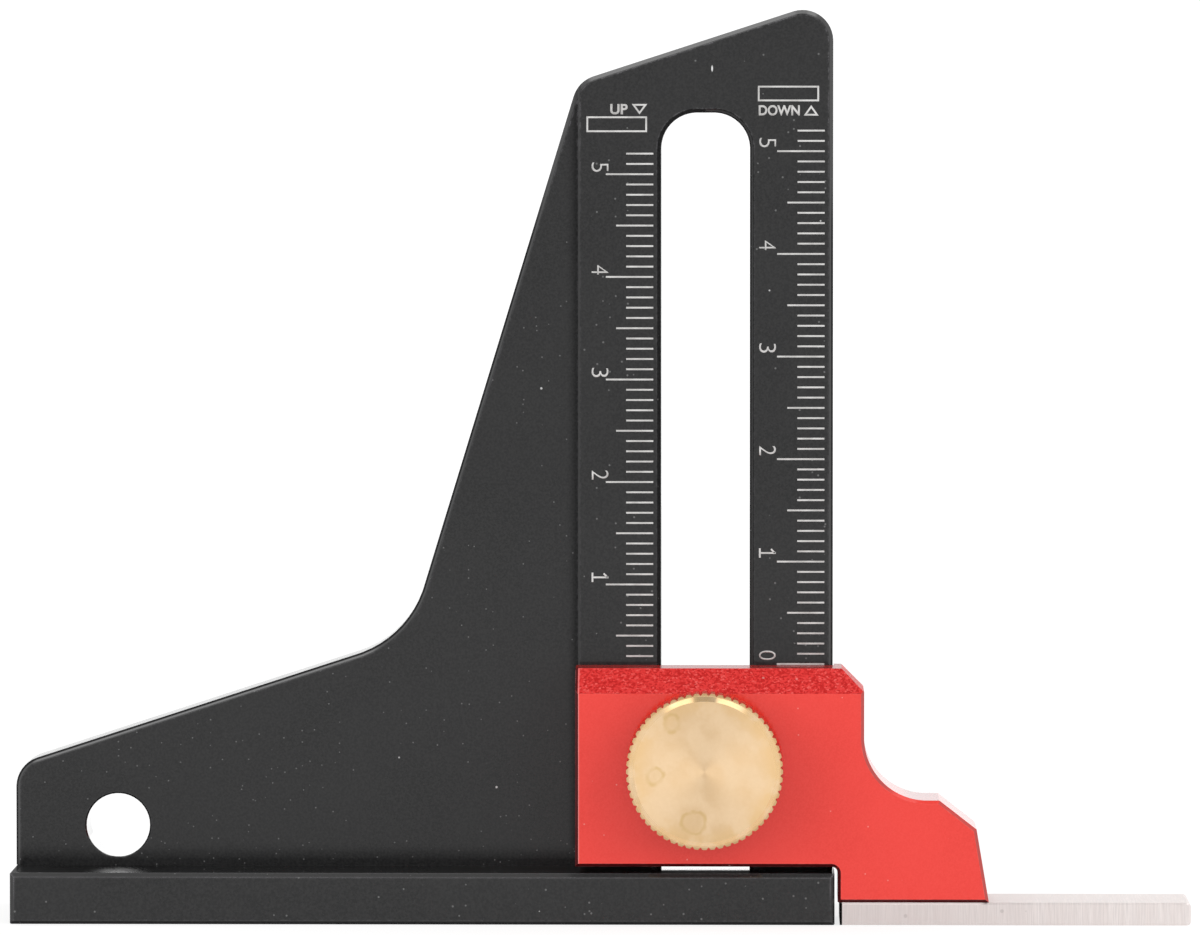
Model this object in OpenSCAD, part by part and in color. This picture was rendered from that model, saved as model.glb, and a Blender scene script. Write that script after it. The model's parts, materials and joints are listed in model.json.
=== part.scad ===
// Table saw height gauge: a slotted upright on a foot, with a clamped slider that carries a steel tongue.
// X runs along the foot towards the tongue, -Y faces the reader and Z is up from the table.

/* [Foot] */
// Length of the foot and of the upright that stands on it
foot_len = 80; // [70:1:110]
// Depth of the foot, front to back
foot_depth = 24; // [20:0.5:36]
// Height of the foot
foot_h = 5; // [4:0.25:8]
// Chamfer along the long edges and the upright corners of the foot
foot_edge = 0.4; // [0.1:0.05:0.8]
// Chamfer along the end edges of the foot, where the upright runs out to them
foot_end_edge = 0.1; // [0.05:0.05:0.3]

/* [Upright] */
// Thickness of the gusset web
web_t = 6.5; // [6:0.25:10]
// How far the rail stands proud of the web at the front
rail_proud = 1; // [0.5:0.1:2]
// Width of the rail
rail_w = 24.85; // [22:0.05:32]
// Distance of the rail's outer edge from the end of the foot
rail_inset = 0.15; // [0.05:0.05:1]
// Height of the web's outer end above the foot
end_h = 9.85; // [8:0.05:16]
// Slope of the web's low edge and of the top edge, in degrees
edge_slope = 18; // [10:1:25]
// Distance from the rail to the hollow where the low edge meets the steep edge
waist_in = 16.6; // [12:0.2:24]
// Wall between the top of the slot and the level of the steep edge's upper corner
slot_wall = 3.05; // [1:0.05:10]
// Radius of the upright's outer corners
corner_r = 3; // [1:0.25:5]
// Radius of the hollow
waist_r = 10; // [4:0.5:16]
// Chamfer round the upright's outline
upright_edge = 0.45; // [0.2:0.05:0.8]
// Chamfer along the rail's inner edge, above the web
rail_edge = 0.2; // [0.1:0.05:0.4]

/* [Slot and hanging hole] */
// Width of the slot in the rail
slot_w = 8.65; // [7.5:0.05:11]
// Radius of the slot's upper corners
slot_r = 3.5; // [2:0.25:3.7]
// Chamfer round the slot
slot_edge = 0.4; // [0.1:0.05:0.5]
// Room left above the guide key at the top of the travel
slot_end_gap = 0.15; // [0.1:0.05:2]
// Diameter of the hanging hole
hang_d = 6.2; // [4:0.1:7]
// Distance of the hanging hole from the end of the web
hang_x = 10; // [7:0.5:12]
// Height of the hanging hole's centre above the foot
hang_h = 3.95; // [3.8:0.05:6]
// Chamfer round the hanging hole
hang_edge = 0.15; // [0.05:0.05:0.5]

/* [Slider] */
// Travel of the slider up the rail
travel = 52; // [30:1:80]
// Height of the slider's plate
slider_h = 19.1; // [17.5:0.1:26]
// How far the slider's face stands in front of the rail
slider_t = 7.5; // [5:0.1:9]
// Running gap between the slider and the face of the rail
slide_gap = 0.05; // [0.02:0.01:0.2]
// Gap under the slider's plate at the bottom of its travel
slider_lift = 0.65; // [0.3:0.05:2]
// How far the slider's left edge stands out past the rail's
slider_over = 0.15; // [0.05:0.05:0.6]
// Thickness of the lip beside the rail
lip_t = 2.9; // [2:0.05:4]
// Running gap between the lip and the rail's edge
lip_gap = 0.1; // [0.05:0.05:0.3]
// How far the lip reaches behind the rail's face
lip_depth = 2.5; // [1.5:0.25:6]
// Height of the bevel at the reading edge
bevel_h = 2.3; // [1:0.1:3.5]
// Depth of the bevel at the reading edge
bevel_d = 2.6; // [1:0.1:3.5]
// Size of the cut at the slider's upper outer corner
corner_cut = 2.15; // [1:0.05:2.6]
// Chamfer round the slider's outline
slider_edge = 0.3; // [0.1:0.05:0.4]

/* [Guide key] */
// Height of the guide key behind the slider's plate
key_h = 15.2; // [12:0.1:17]
// How far the guide key reaches into the slot
key_t = 4; // [2:0.25:4.5]
// Running gap on each side of the key in the slot
key_gap = 0.05; // [0.02:0.01:0.2]

/* [Leg] */
// Reach of the leg past the end of the foot
leg_len = 14.95; // [14.2:0.05:22]
// Height of the leg's top above the table
leg_h = 12.1; // [11:0.1:14]
// Gap between the leg and the end of the foot
leg_gap = 0.3; // [0.2:0.05:1]
// Radius in the notch where the leg passes the foot
notch_r = 0.6; // [0.4:0.05:1]
// Radius of the hollow above the leg
leg_r = 6.1; // [3:0.1:6.3]
// Width of the bevel on the toe
toe_w = 3.6; // [2:0.1:4]
// Height of the bevel on the toe
toe_h = 2.8; // [1:0.1:4]
// How far the toe leans back below its bevel
toe_lean = 1.2; // [0.5:0.1:2]

/* [Tongue] */
// Length of the tongue
tongue_len = 34; // [24:1:60]
// Width of the tongue
tongue_w = 10; // [8:0.25:12]
// Thickness of the tongue
tongue_t = 2.2; // [2:0.1:3]
// Gap between the tongue and the end of the foot
tongue_gap = 0.5; // [0.3:0.05:2]
// Radius at the tip of the tongue
tongue_r = 0.4; // [0.3:0.05:0.9]
// Chamfer round the front and back of the tongue
tongue_edge = 0.2; // [0.05:0.05:0.25]

/* [Clamp knob] */
// Diameter over the knurl
knob_d = 15.1; // [13:0.1:17]
// Number of teeth in the knurl
knob_teeth = 60; // [40:1:90]
// Depth of the knurl
knurl_depth = 0.25; // [0.1:0.05:0.5]
// Share of a tooth's pitch that is flat at its tip
knurl_flat = 0.45; // [0.2:0.05:0.6]
// Land between the roots of the knurl and the rim's bevels
knurl_land = 0.05; // [0.02:0.01:0.2]
// Thickness of the knurled rim
rim_t = 4.5; // [3.5:0.1:7]
// Bevel on both edges of the rim
rim_edge = 0.45; // [0.2:0.05:0.9]
// Diameter of the boss under the rim
boss_d = 11; // [8:0.25:12.5]
// Height of the boss under the rim
boss_t = 1.2; // [1:0.1:4]
// Height of the knob's axis above the middle of the slider's plate
axis_up = 0.15; // [0:0.05:0.5]
// Wall left in front of the stud's blind hole
knob_wall = 2; // [1.5:0.1:3]

/* [Stud and washer] */
// Diameter of the stud
stud_d = 5; // [4:0.5:6]
// Fit of the stud in the knob and in the clamp plate, on the radius
stud_fit = 0.03; // [0.01:0.01:0.1]
// Room round the stud in the slider and the washer, on the radius
stud_room = 0.2; // [0.1:0.05:0.4]
// Length of stud behind the clamp plate
stud_tail = 1; // [0.5:0.1:4]
// Diameter of the washer
washer_d = 10; // [8.5:0.25:12]
// Thickness of the washer
washer_t = 0.8; // [0.5:0.1:1.5]

/* [Clamp plate] */
// Width of the clamp plate
plate_w = 21; // [16:0.5:22]
// Height of the clamp plate
plate_h = 17.5; // [16.5:0.1:18.2]
// How far the middle of the clamp plate lies below the knob's axis
plate_drop = 0.3; // [0:0.05:0.5]
// Thickness of the clamp plate
plate_t = 4; // [3:0.25:6]
// Radius of the clamp plate's corners
plate_r = 2; // [1:0.25:3]
// Chamfer round the clamp plate
plate_edge = 0.4; // [0.2:0.05:0.8]
// How far the clamp plate's rib reaches into the slot
rib_t = 1.5; // [1:0.1:2]

/* [Foot screws] */
// Diameter of the foot screws
foot_screw_d = 3; // [2.5:0.5:4]
// Length of the foot screws
foot_screw_len = 12; // [10:1:16]
// Distance of the first foot screw from the end of the foot
foot_screw_in = 20; // [17:1:26]
// Distance between the two foot screws under the web
foot_screw_gap = 26; // [18:1:30]

/* [Tongue screws] */
// Diameter of the tongue screws
tongue_screw_d = 2.5; // [2:0.5:3]
// Length of the tongue screws
tongue_screw_len = 7; // [6:0.5:8]
// Distance of the inner tongue screw from the end of the tongue
tongue_screw_in = 4; // [3:0.25:5]
// Distance of the outer tongue screw from the end of the leg
tongue_screw_out = 4.5; // [4:0.25:6]

/* [Screw seats] */
// Fit of a screw in its thread and of its head in the countersink
screw_fit = 0.03; // [0.01:0.01:0.1]
// Room round a screw where it passes through, on the radius
screw_room = 0.2; // [0.1:0.05:0.4]
// Depth of a screw's head below the face
screw_sink = 0.1; // [0.05:0.05:0.3]

/* [Hidden] */
$fn = 96;

// How far a cutting shape runs past the solid that it cuts
past = 0.05;
// Angle by which a chamfer round an arc stops short of its ends, where the straight chamfers lap over it
lap = 2;

// Places along X
foot_left = -foot_len / 2;
foot_right = foot_len / 2;
rail_right = foot_right - rail_inset;
rail_left = rail_right - rail_w;
slot_x = rail_right - rail_w / 2;
slider_left = rail_left - slider_over;
lip_in = rail_right + lip_gap;
lip_out = lip_in + lip_t;
leg_in = foot_right + leg_gap;
leg_out = foot_right + leg_len;
tongue_left = foot_right + tongue_gap;

// Places along the reader's axis, counted forwards from the middle of the web
web_front = web_t / 2;
web_back = -web_t / 2;
rail_front = web_front + rail_proud;
slider_front = rail_front + slider_t;
slider_back = rail_front + slide_gap;
lip_back = rail_front - lip_depth;
key_back = rail_front - key_t;
tongue_y = (slider_front + lip_back) / 2;
knob_base = slider_front + washer_t;
rim_back = knob_base + boss_t;
rim_front = rim_back + rim_t;
plate_back = web_back - plate_t;

// Places along Z
slider_bottom = foot_h + slider_lift;
slider_top = slider_bottom + slider_h;
axis_z = slider_bottom + slider_h / 2 + axis_up;
plate_z = axis_z - plate_drop;
slot_top = axis_z + key_h / 2 + travel + slot_r + slot_end_gap;
crown_z = slot_top + slot_wall;
end_z = foot_h + end_h;
waist_x = rail_left - waist_in;
waist_z = end_z + (waist_x - foot_left) * tan(edge_slope);
top_z = crown_z + rail_w * tan(edge_slope);

// Countersunk socket screws: proportions of the head, the land on its rim and the hexagon socket
head_per_d = 1.9;
head_land = 0.15;
socket_per_d = 0.66;
socket_deep_per_d = 0.5;
screw_tip = 0.4;

// Corner lists hold [x, z, radius] for each corner, with the solid on the left of the path
upright_corners = [
    [foot_left, foot_h, 0],
    [rail_right, foot_h, 0],
    [rail_right, top_z, corner_r],
    [rail_left, crown_z, corner_r],
    [waist_x, waist_z, waist_r],
    [foot_left, end_z, corner_r]
];
slot_corners = [
    [slot_x - slot_w / 2, foot_h, 0],
    [slot_x + slot_w / 2, foot_h, 0],
    [slot_x + slot_w / 2, slot_top, slot_r],
    [slot_x - slot_w / 2, slot_top, slot_r]
];
slider_corners = [
    [slider_left, slider_bottom, 0],
    [leg_in, slider_bottom, notch_r],
    [leg_in, tongue_t, 0],
    [leg_out, tongue_t, 0],
    [leg_out - toe_lean, leg_h - toe_h, 0],
    [leg_out - toe_lean - toe_w, leg_h, 0],
    [lip_out, leg_h, leg_r],
    [lip_out, slider_top - corner_cut, 0],
    [lip_out - corner_cut, slider_top, 0],
    [slider_left, slider_top, 0]
];
tongue_corners = [
    [tongue_left, 0, 0],
    [tongue_left + tongue_len, 0, tongue_r],
    [tongue_left + tongue_len, tongue_t, tongue_r],
    [tongue_left, tongue_t, 0]
];
plate_corners = [
    [slot_x - plate_w / 2, plate_z - plate_h / 2, plate_r],
    [slot_x + plate_w / 2, plate_z - plate_h / 2, plate_r],
    [slot_x + plate_w / 2, plate_z + plate_h / 2, plate_r],
    [slot_x - plate_w / 2, plate_z + plate_h / 2, plate_r]
];
// The web meets the foot along its first edge, and the slot, counted the other way round, opens there too
seat_edge = 0;
slot_mouth = 2;

// Two foot screws stand in the web, and one in each cheek of the rail
left_cheek_x = (rail_left + slot_x - slot_w / 2) / 2;
right_cheek_x = (slot_x + slot_w / 2 + rail_right) / 2;
first_screw_x = foot_left + foot_screw_in;
foot_screw_xs = [first_screw_x, first_screw_x + foot_screw_gap, left_cheek_x, right_cheek_x];
tongue_screw_xs = [tongue_left + tongue_screw_in, leg_out - tongue_screw_out];

// One corner of a list: its point, the directions away from it and the arc that rounds it
function unit(v) = v / norm(v);
function point(c, i) = [c[(i + len(c)) % len(c)][0], c[(i + len(c)) % len(c)][1]];
function radius(c, i) = c[(i + len(c)) % len(c)][2];
function back_dir(c, i) = unit(point(c, i - 1) - point(c, i));
function next_dir(c, i) = unit(point(c, i + 1) - point(c, i));
function half_angle(c, i) = acos(back_dir(c, i) * next_dir(c, i)) / 2;
function arc_reach(c, i) = radius(c, i) / tan(half_angle(c, i));
function arc_start(c, i) = point(c, i) + back_dir(c, i) * arc_reach(c, i);
function arc_end(c, i) = point(c, i) + next_dir(c, i) * arc_reach(c, i);
function arc_centre(c, i) =
    point(c, i) + unit(back_dir(c, i) + next_dir(c, i)) * radius(c, i) / sin(half_angle(c, i));
function convex(c, i) = cross(-back_dir(c, i), next_dir(c, i)) > 0;
function reversed(c) = [for (i = [len(c) - 1 : -1 : 0]) c[i]];
function heading(v) = atan2(v[1], v[0]);
function on_circle(r, angle) = r * [cos(angle), sin(angle)];
function rounded_corners(c, outer) = [
    for (i = [0 : len(c) - 1])
        if (radius(c, i) > 0 && convex(c, i) == outer) i
];

// What lies outside the arc of an outer corner, from the arc's chord to past the sharp point
module corner_waste(c, i) {
    beyond = 2 * point(c, i) - arc_centre(c, i);
    difference() {
        polygon([arc_start(c, i), beyond, arc_end(c, i)]);
        translate(arc_centre(c, i)) circle(radius(c, i));
    }
}

// The points of an outline, where a hollow corner is bridged by the chord of its arc
function chord_points(c) = [
    for (i = [0 : len(c) - 1])
        each convex(c, i) ? [point(c, i)] : [arc_start(c, i), arc_end(c, i)]
];

// A flat outline with its corners rounded
module outline(c) {
    difference() {
        polygon(chord_points(c));
        for (i = rounded_corners(c, true)) corner_waste(c, i);
        for (i = rounded_corners(c, false)) translate(arc_centre(c, i)) circle(radius(c, i));
    }
}

// How far a straight chamfer runs on past a sharp corner, or over the end of an arc
function chamfer_run_on(r, size) = r == 0 ? size + past : r * tan(1.5 * lap);

// The wedge that a chamfer takes off along one straight edge, at height 0
module straight_chamfer(c, i, size) {
    before = chamfer_run_on(radius(c, i), size);
    after = chamfer_run_on(radius(c, i + 1), size);
    start = arc_end(c, i);
    stop = arc_start(c, i + 1);
    translate(start) rotate(heading(stop - start)) translate([-before, 0, 0]) rotate([90, 0, 90])
        linear_extrude(norm(stop - start) + before + after)
            polygon([[size + past, past], [-size, past], [-size, -2 * size]]);
}

// The wedge that a chamfer takes off round one rounded corner, at height 0
module round_chamfer(c, i, size) {
    r = radius(c, i);
    outer = convex(c, i);
    side = outer ? -1 : 1;
    start = arc_start(c, i) - arc_centre(c, i);
    stop = arc_end(c, i) - arc_centre(c, i);
    clear = min(size, 0.9 * r);
    translate(arc_centre(c, i)) rotate(heading(outer ? start : stop) + lap)
        rotate_extrude(angle = 180 - 2 * half_angle(c, i) - 2 * lap)
            polygon([
                [max(r + side * (size + past), 0), past],
                [r - side * clear, past],
                [r - side * clear, -size - clear]
            ]);
}

// All the wedges round an outline, apart from one edge that stays sharp
module chamfer_ring(c, size, sharp = -1) {
    for (i = [0 : len(c) - 1]) if (i != sharp) straight_chamfer(c, i, size);
    for (i = concat(rounded_corners(c, true), rounded_corners(c, false))) round_chamfer(c, i, size);
}

// A plate of a given outline with a chamfer round its front and its back
module chamfered_plate(c, back, front, size, sharp = -1) {
    difference() {
        translate([0, 0, back]) linear_extrude(front - back) outline(c);
        translate([0, 0, front]) chamfer_ring(c, size, sharp);
        translate([0, 0, back]) mirror([0, 0, 1]) chamfer_ring(c, size, sharp);
    }
}

// Turns a shape drawn as seen by the reader, with its third axis towards them, to stand upright
module stand() {
    rotate([90, 0, 0]) children();
}

// A block between two corners
module block(low, high) {
    translate(low) cube(high - low);
}

// A box with all its edges chamfered, from the crossing of three extruded profiles
module chamfered_box(size, edge, end_edge) {
    intersection() {
        linear_extrude(size[2]) chamfered_rectangle(size[0], size[1], edge);
        translate([0, size[1] / 2, size[2] / 2]) rotate([90, 0, 0])
            linear_extrude(size[1]) chamfered_rectangle(size[0], size[2], end_edge);
        translate([-size[0] / 2, 0, size[2] / 2]) rotate([90, 0, 90])
            linear_extrude(size[0]) chamfered_rectangle(size[1], size[2], edge);
    }
}

module chamfered_rectangle(w, h, edge) {
    polygon([
        [-w / 2 + edge, -h / 2], [w / 2 - edge, -h / 2],
        [w / 2, -h / 2 + edge], [w / 2, h / 2 - edge],
        [w / 2 - edge, h / 2], [-w / 2 + edge, h / 2],
        [-w / 2, h / 2 - edge], [-w / 2, -h / 2 + edge]
    ]);
}

// A countersunk socket screw that points up, with the face of its head at height 0
module countersunk_screw(d, length) {
    head_r = head_per_d * d / 2;
    difference() {
        rotate_extrude() polygon([
            [0, 0], [head_r, 0], [head_r, head_land], [d / 2, head_land + head_r - d / 2],
            [d / 2, length - screw_tip], [d / 2 - screw_tip, length], [0, length]
        ]);
        translate([0, 0, -past])
            cylinder(d = socket_per_d * d / cos(30), h = socket_deep_per_d * d + past, $fn = 6);
    }
}

// The countersunk hole for that screw: free below the joint and a thread's fit above it
module countersunk_hole(d, length, joint) {
    head_r = head_per_d * d / 2 + screw_fit;
    rotate_extrude() polygon([
        [0, -screw_sink - past], [head_r, -screw_sink - past], [head_r, head_land],
        [d / 2 + screw_room, head_land + head_r - d / 2 - screw_room],
        [d / 2 + screw_room, joint], [d / 2 + screw_fit, joint],
        [d / 2 + screw_fit, length + screw_tip], [0, length + screw_tip]
    ]);
}

module at_foot_screws() {
    for (x = foot_screw_xs) translate([x, 0, screw_sink]) children();
}

module at_tongue_screws() {
    for (x = tongue_screw_xs) translate([x, -tongue_y, screw_sink]) children();
}

// Places a shape on the knob's axis, as the reader sees it
module on_axis() {
    stand() translate([slot_x, axis_z, 0]) children();
}

// The gusset web with its raised rail, open slot and hanging hole
module upright() {
    color([0.16, 0.16, 0.17]) difference() {
        stand() difference() {
            union() {
                chamfered_plate(upright_corners, web_back, web_front, upright_edge, seat_edge);
                intersection() {
                    chamfered_plate(upright_corners, web_back, rail_front, upright_edge, seat_edge);
                    block([rail_left, 0, web_back], [rail_right, top_z, rail_front]);
                }
            }
            translate([rail_left, 0, rail_front]) rotate([-90, 0, 0]) linear_extrude(top_z)
                polygon([[-past, rail_edge + past], [rail_edge + past, -past], [-past, -past]]);
            translate([0, 0, web_back - past])
                linear_extrude(rail_front - web_back + 2 * past) outline(slot_corners);
            translate([0, 0, rail_front]) chamfer_ring(reversed(slot_corners), slot_edge, slot_mouth);
            translate([foot_left + hang_x, foot_h + hang_h, 0]) hanging_hole();
        }
        at_foot_screws() countersunk_hole(foot_screw_d, foot_screw_len, foot_h - screw_sink);
    }
}

module hanging_hole() {
    translate([0, 0, web_back - past]) cylinder(d = hang_d, h = web_t + 2 * past);
    for (face = [0, 1]) mirror([0, 0, face]) translate([0, 0, web_front - hang_edge])
        cylinder(d1 = hang_d, d2 = hang_d + 2 * (hang_edge + past), h = hang_edge + past);
}

// The bar that stands on the table
module foot() {
    color([0.16, 0.16, 0.17]) difference() {
        chamfered_box([foot_len, foot_depth, foot_h], foot_edge, foot_end_edge);
        at_foot_screws() countersunk_hole(foot_screw_d, foot_screw_len, foot_h - screw_sink + past);
    }
}

module foot_screws() {
    color([0.35, 0.35, 0.37]) at_foot_screws() countersunk_screw(foot_screw_d, foot_screw_len);
}

// The block that slides on the rail: plate, key in the slot, lip beside the rail and leg past the foot
module slider() {
    color([0.86, 0.16, 0.13]) difference() {
        stand() difference() {
            union() {
                chamfered_plate(slider_corners, lip_back, slider_front, slider_edge);
                slider_key();
            }
            rail_pocket();
            reading_bevel();
            translate([slot_x, axis_z, key_back - past])
                cylinder(r = stud_d / 2 + stud_room, h = key_t + slider_t + 2 * past);
        }
        at_tongue_screws() countersunk_hole(tongue_screw_d, tongue_screw_len, tongue_t - screw_sink);
    }
}

// The room behind the plate that the rail fills, with the key left standing in it
module rail_pocket() {
    difference() {
        block([slider_left - past, 0, lip_back - past], [lip_in, slider_top + past, slider_back]);
        slider_key();
    }
}

module slider_key() {
    half_w = slot_w / 2 - key_gap;
    block([slot_x - half_w, axis_z - key_h / 2, key_back],
          [slot_x + half_w, axis_z + key_h / 2, slider_back + past]);
}

// The wedge cut off the slider's upper front edge, so that the scale is read close to the rail
module reading_bevel() {
    lean = [bevel_h, -bevel_d];
    low = [slider_top - bevel_h, slider_front];
    translate([slider_left - past, 0, 0]) rotate([90, 0, 90])
        linear_extrude(lip_out - slider_left + 2 * past)
            polygon([low - past * lean, low + (1 + past) * lean, low + [2 * bevel_h, bevel_d]]);
}

// The steel bar whose underside touches the blade
module tongue() {
    color([0.82, 0.81, 0.8]) difference() {
        stand()
            chamfered_plate(tongue_corners, tongue_y - tongue_w / 2, tongue_y + tongue_w / 2, tongue_edge);
        at_tongue_screws() countersunk_hole(tongue_screw_d, tongue_screw_len, tongue_t - screw_sink + past);
    }
}

module tongue_screws() {
    color([0.35, 0.35, 0.37]) at_tongue_screws() countersunk_screw(tongue_screw_d, tongue_screw_len);
}

// The knurled clamp knob: a turned core with a boss and bevelled ends, inside a toothed band
module knob() {
    core_r = knob_d / 2 - knurl_depth - knurl_land;
    color([0.85, 0.69, 0.42]) on_axis() difference() {
        union() {
            rotate_extrude() polygon([
                [0, knob_base], [boss_d / 2, knob_base], [boss_d / 2, rim_back],
                [core_r - rim_edge, rim_back], [core_r, rim_back + rim_edge],
                [core_r, rim_front - rim_edge], [core_r - rim_edge, rim_front], [0, rim_front]
            ]);
            translate([0, 0, rim_back + rim_edge]) linear_extrude(rim_t - 2 * rim_edge) knurl(knob_d / 2);
        }
        translate([0, 0, knob_base - past])
            cylinder(r = stud_d / 2 + stud_fit, h = rim_front - knob_wall - knob_base + past);
    }
}

// The outline of the knurl: each tooth has a flat tip, and a sharp root lies between it and the next
module knurl(r) {
    pitch = 360 / knob_teeth;
    half_flat = knurl_flat * pitch / 2;
    polygon([
        for (i = [0 : knob_teeth - 1])
            each [
                on_circle(r, i * pitch - half_flat),
                on_circle(r, i * pitch + half_flat),
                on_circle(r - knurl_depth, (i + 0.5) * pitch)
            ]
    ]);
}

// The threaded stud that the knob turns, from the knob's blind hole to behind the clamp plate
module clamp_stud() {
    r = stud_d / 2;
    front = rim_front - knob_wall;
    back = plate_back - stud_tail;
    color([0.55, 0.55, 0.57]) on_axis() rotate_extrude() polygon([
        [0, back], [r - screw_tip, back], [r, back + screw_tip],
        [r, front - screw_tip], [r - screw_tip, front], [0, front]
    ]);
}

module knob_washer() {
    color([0.8, 0.8, 0.78]) on_axis() translate([0, 0, slider_front]) difference() {
        cylinder(d = washer_d, h = washer_t);
        translate([0, 0, -past]) cylinder(r = stud_d / 2 + stud_room, h = washer_t + 2 * past);
    }
}

// The threaded plate that grips the back of the rail, with a rib in the slot that stops it turning
module clamp_plate() {
    half_w = slot_w / 2 - key_gap;
    color([0.16, 0.16, 0.17]) stand() difference() {
        union() {
            chamfered_plate(plate_corners, plate_back, web_back, plate_edge);
            block([slot_x - half_w, axis_z - key_h / 2, web_back - plate_edge],
                  [slot_x + half_w, axis_z + key_h / 2, web_back + rib_t]);
        }
        translate([slot_x, axis_z, plate_back - past])
            cylinder(r = stud_d / 2 + stud_fit, h = plate_t + rib_t + 2 * past);
    }
}

upright();
foot();
foot_screws();
slider();
tongue();
tongue_screws();
knob();
clamp_stud();
knob_washer();
clamp_plate();
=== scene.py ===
# Looks of a table saw height gauge: its finishes, the marks on its rail and the thread of its clamp stud.
import json
import math

import bpy
from mathutils import Matrix, Vector


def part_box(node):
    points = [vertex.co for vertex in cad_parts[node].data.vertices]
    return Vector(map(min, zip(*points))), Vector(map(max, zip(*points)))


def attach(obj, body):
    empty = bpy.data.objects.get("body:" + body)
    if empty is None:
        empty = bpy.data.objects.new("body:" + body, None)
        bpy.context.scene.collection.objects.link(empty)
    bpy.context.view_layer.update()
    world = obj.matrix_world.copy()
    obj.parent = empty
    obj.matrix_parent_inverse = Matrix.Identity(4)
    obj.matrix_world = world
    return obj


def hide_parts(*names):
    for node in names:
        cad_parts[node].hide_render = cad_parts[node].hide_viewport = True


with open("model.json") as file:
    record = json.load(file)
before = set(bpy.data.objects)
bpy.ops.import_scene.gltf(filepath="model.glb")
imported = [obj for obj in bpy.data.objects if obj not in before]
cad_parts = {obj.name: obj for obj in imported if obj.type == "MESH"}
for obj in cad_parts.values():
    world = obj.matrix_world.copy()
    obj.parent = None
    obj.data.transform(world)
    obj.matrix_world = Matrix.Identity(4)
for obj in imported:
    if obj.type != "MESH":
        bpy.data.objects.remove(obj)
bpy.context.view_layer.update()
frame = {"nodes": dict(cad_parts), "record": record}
nodes = frame["nodes"]
record = frame["record"]

MM = 0.001

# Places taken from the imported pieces
RAIL_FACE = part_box("upright")[0].y
READING_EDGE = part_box("slider")[1].z
STUD_LOW, STUD_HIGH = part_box("clamp_stud")
KNOB_LOW, KNOB_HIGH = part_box("knob")
KNOB_CENTRE = (KNOB_LOW + KNOB_HIGH) / 2
KNOB_R = (KNOB_HIGH.x - KNOB_LOW.x) / 2
TONGUE_LOW, TONGUE_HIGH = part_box("tongue")
FOOT_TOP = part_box("foot")[1].z
FOOT_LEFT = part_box("foot")[0].x
HANG_HOLE_MOUNT = next(m for m in record["mounts"] if m["name"] == "hang_hole")
HANG_HOLE = Vector(HANG_HOLE_MOUNT["pos_m"])
HANG_HOLE_R = HANG_HOLE_MOUNT["dims"]["r_mm"] * MM
SLIDER_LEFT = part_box("slider")[0].x
SLIDER_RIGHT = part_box("slider")[1].x
CLAMP_THREAD = next(c for c in record["behaviour"]["couplings"] if c["joint"] == "clamp_release")

# Places on the upright that no box gives, and a hair's breadth to tell two faces apart
WEB_FACE = 3.25 * MM
SLOT_TOP = 78.6 * MM
SLIDER_OVERHANG = 0.15 * MM
RAIL_LEFT = SLIDER_LEFT + SLIDER_OVERHANG
HAIR = 0.01 * MM

# Scale on the rail
TICK_PITCH = 1 * MM
TICK_T = 0.17 * MM
LAST_TICK = 52
TICKS_PER_NUMBER = 10
# Lengths of the division lines by the step that they fall on, the largest step first
TICK_LENGTHS = {TICKS_PER_NUMBER: 4.62 * MM, 5: 3.62 * MM, 1: 2.64 * MM}
INK_T = 0.012 * MM
ZERO_ABOVE_EDGE = 0.11 * MM
UP_PRINT_LOWER = 0.045 * MM
DOWN_ZERO = READING_EDGE + ZERO_ABOVE_EDGE
UP_ZERO = DOWN_ZERO - (TONGUE_HIGH.z - TONGUE_LOW.z) - UP_PRINT_LOWER
UP_TICKS_END = 22.34 * MM
DOWN_TICKS_END = 39.02 * MM
DIGIT_H = 1.64 * MM
DIGIT_W = 0.92 * MM
DIGIT_LINE = 0.17 * MM
DIGIT_THINNING = -0.012
UP_DIGITS_X = 16.33 * MM
UP_DIGITS_LIFT = 0.23 * MM
DOWN_DIGITS_X = 32.65 * MM
DOWN_DIGITS_LIFT = 0.38 * MM
ONE_FLAG = 0.38 * MM

# Signs above the scales
SIGN_LINE = 0.17 * MM
SIGN_WORD_H = 1.02 * MM
SIGN_WORD_WEIGHT = 0.03
UP_WORD_X = (18.14 * MM, 19.85 * MM)
UP_ARROW_X = (20.24 * MM, 21.75 * MM)
UP_WINDOW_X = (15.83 * MM, 21.73 * MM)
UP_SIGN_Z = 78.43 * MM
UP_WINDOW_Z = (76.71 * MM, 78.24 * MM)
DOWN_WORD_X = (32.59 * MM, 36.6 * MM)
DOWN_ARROW_X = (36.97 * MM, 38.43 * MM)
DOWN_WINDOW_X = (32.51 * MM, 38.47 * MM)
DOWN_SIGN_Z = 78.32 * MM
DOWN_WINDOW_Z = (79.71 * MM, 81.22 * MM)

# Thread of the clamp stud
STUD_PITCH = CLAMP_THREAD["ratio"] * 2 * math.pi
STUD_R = (STUD_HIGH.x - STUD_LOW.x) / 2
THREAD_DEPTH = 0.46 * MM
THREAD_CREST = 0.125
THREAD_ROOT = 0.25
SPARE_TURNS = 2
TURN_STEPS = 40
THREAD_SMOOTH = math.radians(25)


# Modelling helpers

MERGE_GAP = 0.0005 * MM
TO_READER = Vector((0, -1, 0))
TO_RIGHT = Vector((1, 0, 0))
UPWARD = Vector((0, 0, 1))


def deselect_all():
    bpy.ops.object.select_all(action="DESELECT")


def name_piece(name):
    piece = bpy.context.active_object
    piece.name = name
    piece.data.name = name
    return piece


def select_only(piece):
    deselect_all()
    piece.select_set(True)
    bpy.context.view_layer.objects.active = piece


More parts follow.
